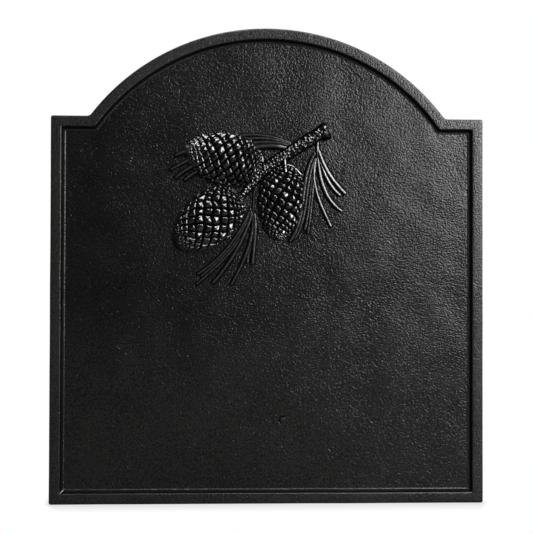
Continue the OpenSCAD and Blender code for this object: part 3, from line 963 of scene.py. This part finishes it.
# How far each needle's top leans to the bright side. The spread ones on the right lean more.
needle_leans = {
    "needles_top": [0.12] * 4,
    "needles_left": [0.18] * 4,
    "needles_bottom": [0.06] * 7,
    "needles_right": [0.2, 0.2, 0.16, 0.14, 0.13] + [0.05] * 4,
}
sheaths = {
    "needles_bottom": [
        (-16.5, 372, 1.2, 0, -0.1), (-16.8, 360, 1.8, 0, -0.1), (-17.3, 348, 2.2, 0, -0.05),
        (-18, 338, 1.8),
    ],
    "needles_right": [
        (58.5, 427, 1.8, 0, 0.21), (58.5, 416, 2.9, 0, 0.21), (58.3, 408, 2.4, 0, 0.21),
        (58.2, 402, 0.8, 0, 0.21),
    ],
}
# The needles' paint is lighter than the plate's on the crests, a painted sheen, and near black on
# the flanks, which is painted shade.
needle_paint = black_paint(
    "needle_paint", (0.028, 0.028, 0.0266), 0.23, grain_size=1.7, grain_height=0.02,
    pit_depth=0.01, swell_height=0.02, coat=1.0, coat_ior=1.95, coat_roughness=0.22, specular=0.1,
    grain_shade=0.3, painted_shade_attribute="crests", off_crest_painted_shade=0.04,
)


def bent(lean_by, root, root_bend, tip_bend, tip, width_share):
    """A needle's line: a Bezier curve from its root to its tip, slimmer at the root."""
    line = []
    for k in range(needle_steps + 1):
        t = k / needle_steps
        shares = ((1 - t) ** 3, 3 * t * (1 - t) ** 2, 3 * t * t * (1 - t), t ** 3)
        corners = (root, root_bend, tip_bend, tip)
        x = sum(share * corner[0] for share, corner in zip(shares, corners))
        z = sum(share * corner[1] for share, corner in zip(shares, corners))
        fullness = 0.75 + 0.25 * min(1, 3 * t)
        line.append((x, z, needle_width / 2 * width_share * fullness, 0, lean_by))
    return line


for node, needles in needle_bunches.items():
    lines = [bent(lean_by, *needle) for lean_by, needle in zip(needle_leans[node], needles)]
    if node in sheaths:
        lines.append(sheaths[node])
    bunch = grow_limbs(node + "_casting", lines, needle_sizes, needle_paint)
    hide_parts(node)


# ---------------------------------------------------------------------------------------------
# The legs. Two iron castings, each an upright pad, a foot and a hollow-edged web down its outer
# side. Every edge is rounded for the mould, and they are painted like the plate.
# ---------------------------------------------------------------------------------------------
leg_edge_radius = 1.3 * mm
leg_flat_angle = math.radians(1)
leg_sharp_angle = math.radians(35)
leg_paint = black_paint(
    "leg_paint", (0.0095, 0.0095, 0.0097), 0.32, grain_size=1.7, grain_height=0.1,
    pit_depth=0.08, swell_height=0.15,
)


def softened_copy(node, name):
    """A leg's CAD mesh with flat faces made whole and every sharp edge rounded."""
    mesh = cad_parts[node].data.copy()
    mesh.name = name
    work = bmesh.new()
    work.from_mesh(mesh)
    bmesh.ops.remove_doubles(work, verts=work.verts, dist=1e-6)
    bmesh.ops.dissolve_limit(
        work, angle_limit=leg_flat_angle, verts=work.verts, edges=work.edges)
    sharp = [
        e for e in work.edges
        if len(e.link_faces) == 2 and e.calc_face_angle() > leg_sharp_angle
    ]
    bmesh.ops.bevel(
        work, geom=sharp, offset=leg_edge_radius, segments=3, profile=0.5, affect="EDGES",
        clamp_overlap=True)
    work.to_mesh(mesh)
    work.free()
    return mesh


for node in ("leg_left", "leg_right"):
    leg = piece(node + "_casting", softened_copy(node, node + "_casting"), leg_paint)
    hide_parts(node)


# ---------------------------------------------------------------------------------------------
# The fasteners. Four hexagon bolts, each with a flat and a spring washer, hold the legs to the
# bosses. They are rolled and turned from steel and blackened.
# ---------------------------------------------------------------------------------------------
turning_mark_depth = 0.02 * mm


def black_steel(name, colour, roughness):
    """Blackened steel with fine turning marks and a trace of rubbed metal."""
    material = bpy.data.materials.new(name)
    material.use_nodes = True
    tree = material.node_tree
    shader = tree.nodes["Principled BSDF"]
    place = add_node(tree, "ShaderNodeTexCoord").outputs["Object"]
    mottle = field(tree, "ShaderNodeTexNoise", {"Vector": place, "Scale": 260.0, "Detail": 4.0})
    scratch = field(tree, "ShaderNodeTexNoise", {"Vector": place, "Scale": 1500.0, "Detail": 2.0})
    tint = add_node(tree, "ShaderNodeMix", {
        0: mottle.between(0.35, 0.7), 6: colour + (1,), 7: tuple(1.8 * c for c in colour) + (1,),
    }, data_type="RGBA")
    bump = add_node(tree, "ShaderNodeBump", {
        "Strength": 0.6, "Distance": 1.0, "Height": scratch * turning_mark_depth,
    })
    connect(tree, tint.outputs[2], shader.inputs["Base Color"])
    connect(tree, roughness + (mottle - 0.5) * 0.2, shader.inputs["Roughness"])
    connect(tree, bump.outputs[0], shader.inputs["Normal"])
    shader.inputs["Metallic"].default_value = 1.0
    return material


bolt_paint = black_steel("blackened_bolt_steel", (0.07, 0.07, 0.075), 0.38)
washer_paint = black_steel("blackened_washer_steel", (0.10, 0.10, 0.105), 0.45)

fastener_tree, fastener_in = new_group(
    "at the four bolts", "GeometryNodeTree",
    [("Pattern", "Object", None), ("Left", "Float", bolt_columns[0]),
     ("Right", "Float", bolt_columns[1]), ("Low", "Float", bolt_rows[0]),
     ("High", "Float", bolt_rows[1]), ("Paint", "Material", None)],
    [("Fasteners", "Geometry")],
)
fastener_shape = add_node(fastener_tree, "GeometryNodeObjectInfo", {
    "Object": fastener_in["Pattern"],
})
fastener_join = fastener_tree.nodes.new("GeometryNodeJoinGeometry")
for column in ("Left", "Right"):
    for row in ("Low", "High"):
        moved = add_node(fastener_tree, "GeometryNodeTransform", {
            "Geometry": fastener_shape.outputs["Geometry"],
            "Translation": vector(fastener_tree, fastener_in[column], 0.0, fastener_in[row]),
        })
        fastener_tree.links.new(moved.outputs[0], fastener_join.inputs[0])
finish_tree(fastener_tree, fastener_join, fastener_in["Paint"])


def closed_ring(name, profile, gap=0.0):
    """A washer: a closed profile turned all the way round, or with a gap and two end faces."""
    rings = [circle(radius, y, gap=gap) for radius, y in profile]
    count = len(rings[0])
    faces = []
    for r in range(len(rings)):
        s = (r + 1) % len(rings)
        for k in range(count - 1 if gap else count):
            j = (k + 1) % count
            faces.append((r * count + k, r * count + j, s * count + j, s * count + k))
    if gap:
        faces.append(tuple(r * count for r in range(len(rings))))
        faces.append(tuple(r * count + count - 1 for r in reversed(range(len(rings)))))
    mesh = bpy.data.meshes.new(name)
    mesh.from_pydata([p for ring in rings for p in ring], [], faces)
    return mesh


flat_low, flat_high = washer_low[1] / mm, washer_high[1] / mm
flat_mesh = closed_ring("flat_washer", [
    (4.2, flat_low + 0.15), (4.4, flat_low), (7.7, flat_low), (8.0, flat_low + 0.3),
    (8.0, flat_high - 0.3), (7.7, flat_high), (4.4, flat_high), (4.2, flat_high - 0.15),
])
spring_low, spring_high = (corner[1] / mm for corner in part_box("spring_washers"))
spring_mesh = closed_ring("spring_washer", [
    (4.2, spring_low + 0.2), (4.4, spring_low), (7.15, spring_low), (7.4, spring_low + 0.25),
    (7.4, spring_high - 0.25), (7.15, spring_high), (4.4, spring_high), (4.2, spring_high - 0.2),
], gap=math.radians(12))

# The bolt: a shank, a washer face, six flats and a domed chamfer. Each pair is a place along the
# bolt and the radius there, before the flats are cut.
bolt_low, bolt_high = (corner[1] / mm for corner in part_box("leg_bolts"))
bolt_steps = 60
head_across_flats = 13.0
shank_profile = [
    (bolt_low, 0.01), (bolt_low, 3.2), (bolt_low + 0.8, 3.95), (spring_high + 0.1, 3.95),
]
head_profile = [
    (spring_high + 0.1, 6.1), (spring_high + 0.35, 6.1), (spring_high + 0.5, 6.9),
    (spring_high + 0.8, 7.6), (bolt_high - 1.1, 7.6), (bolt_high - 0.6, 7.0),
    (bolt_high - 0.15, 6.25), (bolt_high, 5.6), (bolt_high, 0.01),
]


def hexagon(y, radius):
    """A section of the bolt's head: a circle, cut by its six flats."""
    ring = []
    for k in range(bolt_steps):
        angle = math.tau * k / bolt_steps
        from_flat = (angle + math.pi / 6) % (math.pi / 3) - math.pi / 6
        reach = min(head_across_flats / 2 / math.cos(from_flat), radius)
        ring.append((reach * mm * math.cos(angle), y * mm, reach * mm * math.sin(angle)))
    return ring


bolt_rings = [circle(radius, y, bolt_steps) for y, radius in shank_profile]
bolt_rings += [hexagon(y, radius) for y, radius in head_profile]
bolt_mesh = loft("leg_bolt", bolt_rings)

for node, mesh, paint, slot in (
    ("leg_bolts", bolt_mesh, bolt_paint, "bolt_steel"),
    ("flat_washers", flat_mesh, washer_paint, "washer_steel"),
    ("spring_washers", spring_mesh, washer_paint, "washer_steel"),
):
    pattern = put_in_scene(node + "_pattern", mesh)
    group_mesh = grow(node + "_set", fastener_tree, {"Pattern": pattern, "Paint": paint})
    bpy.data.objects.remove(pattern)
    group = piece(node + "_set", group_mesh, paint, smooth_angle=30)
    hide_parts(node)


# ---------------------------------------------------------------------------------------------
# The studio. A pale ground with a faint contact shadow, partly its real shadow and partly painted,
# and a white backdrop far behind.
# One soft lamp on the right is the key, one above it fills, and three light the sides and back.
# ---------------------------------------------------------------------------------------------
ground_reach = 12.0
ground_dark = 0.15
ground_pale = 0.6
contact_reach = 85 * mm
painted_contact_shadow = 0.3
beside_falloff = 12.0
beside_narrowing = 0.25
surround_level = 0.03


def shows_backdrop(tree, behind):
    """1 for a camera ray, and for a mirrored or bent one that runs out behind the plate."""
    ray = add_node(tree, "ShaderNodeLightPath").outputs
    mirrored = Field(tree, ray["Is Glossy Ray"]).above(Field(tree, ray["Is Transmission Ray"]))
    return (mirrored * behind).above(Field(tree, ray["Is Camera Ray"]))


ground_mesh = bpy.data.meshes.new("ground")
ground_mesh.from_pydata([
    (x * ground_reach, y * ground_reach, 0) for x, y in ((-1, -1), (1, -1), (1, 1), (-1, 1))
], [], [(0, 1, 2, 3)])
ground = put_in_scene("ground", ground_mesh)
ground_white = bpy.data.materials.new("ground_white")
ground_white.use_nodes = True
ground_nodes = ground_white.node_tree
ground_shader = ground_nodes.nodes["Principled BSDF"]
ground_shader.inputs["Roughness"].default_value = 0.9
ground_shader.inputs["Specular IOR Level"].default_value = 0.1
ground_x, ground_y, _ = parts(
    ground_nodes, add_node(ground_nodes, "ShaderNodeTexCoord").outputs["Object"])
# In front it is dark for all but the camera, so that the relief's flanks stay black.
ground_behind = ground_y.between(0.05, 0.4)
connect(ground_nodes, ground_dark + (ground_pale - ground_dark) * ground_behind,
        ground_shader.inputs["Base Color"])
# Near the plate the glow gives way to the lit ground, a painted contact shadow that also shows the
# real one, from a narrow strip beside it to a wider one before and behind.
foot_low, foot_high = plate_low[1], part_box("leg_left")[1][1]
before = ((ground_y - (foot_low + foot_high) / 2).math("ABSOLUTE")
          - (foot_high - foot_low) / 2).above(0.0)
beside = (ground_x.math("ABSOLUTE") + beside_narrowing * before
          - half_width).above(0.0) * beside_falloff
away = (beside * beside + before * before).math("SQRT")
glow = add_node(ground_nodes, "ShaderNodeEmission", {"Color": (1, 1, 1, 1), "Strength": 1.0})
glow_share = shows_backdrop(ground_nodes, ground_behind) * (
    1.0 - painted_contact_shadow * (1.0 - away / contact_reach).above(0.0))
ground_mix = add_node(ground_nodes, "ShaderNodeMixShader", {
    0: glow_share, 1: ground_shader.outputs[0], 2: glow.outputs[0],
})
connect(ground_nodes, ground_mix.outputs[0],
        ground_nodes.nodes["Material Output"].inputs["Surface"])
ground_mesh.materials.append(ground_white)

world = bpy.data.worlds.new("surround")
bpy.context.scene.world = world
world.use_nodes = True
world_nodes = world.node_tree
surround = world_nodes.nodes["Background"]
surround.inputs["Color"].default_value = (1, 1, 1, 1)
world_way = add_node(world_nodes, "ShaderNodeTexCoord").outputs["Generated"]
world_behind = parts(world_nodes, world_way)[1].between(0.0, 0.3)
connect(world_nodes, shows_backdrop(world_nodes, world_behind) * (1 - surround_level)
        + surround_level, surround.inputs["Strength"])

# Each soft lamp faces the plate's middle: its place and size in metres, and its watts.
lamps = {
    "key_lamp": ((0.915, -1.518, 0.792), (0.78, 0.78), 19.3),
    "top_lamp": ((0.3, -1.4, 1.9), (1.0, 0.8), 20),
    "back_lamp": ((0.5, 2.2, 1.3), (2.2, 1.4), 50),
    "left_lamp": ((-2.0, 0.9, 0.9), (1.0, 1.0), 22),
    "right_lamp": ((2.0, 0.9, 0.9), (1.0, 1.0), 22),
}
for name, (place, size, watts) in lamps.items():
    lamp_data = bpy.data.lights.new(name, "AREA")
    lamp_data.shape = "RECTANGLE"
    lamp_data.size, lamp_data.size_y = size
    lamp_data.energy = watts
    lamp = put_in_scene(name, lamp_data)
    lamp.location = place
    facing = Vector((0, 0, plate_height / 2)) - Vector(place)
    lamp.rotation_euler = facing.to_track_quat("-Z", "Y").to_euler()

bpy.context.scene.view_settings.view_transform = "Standard"
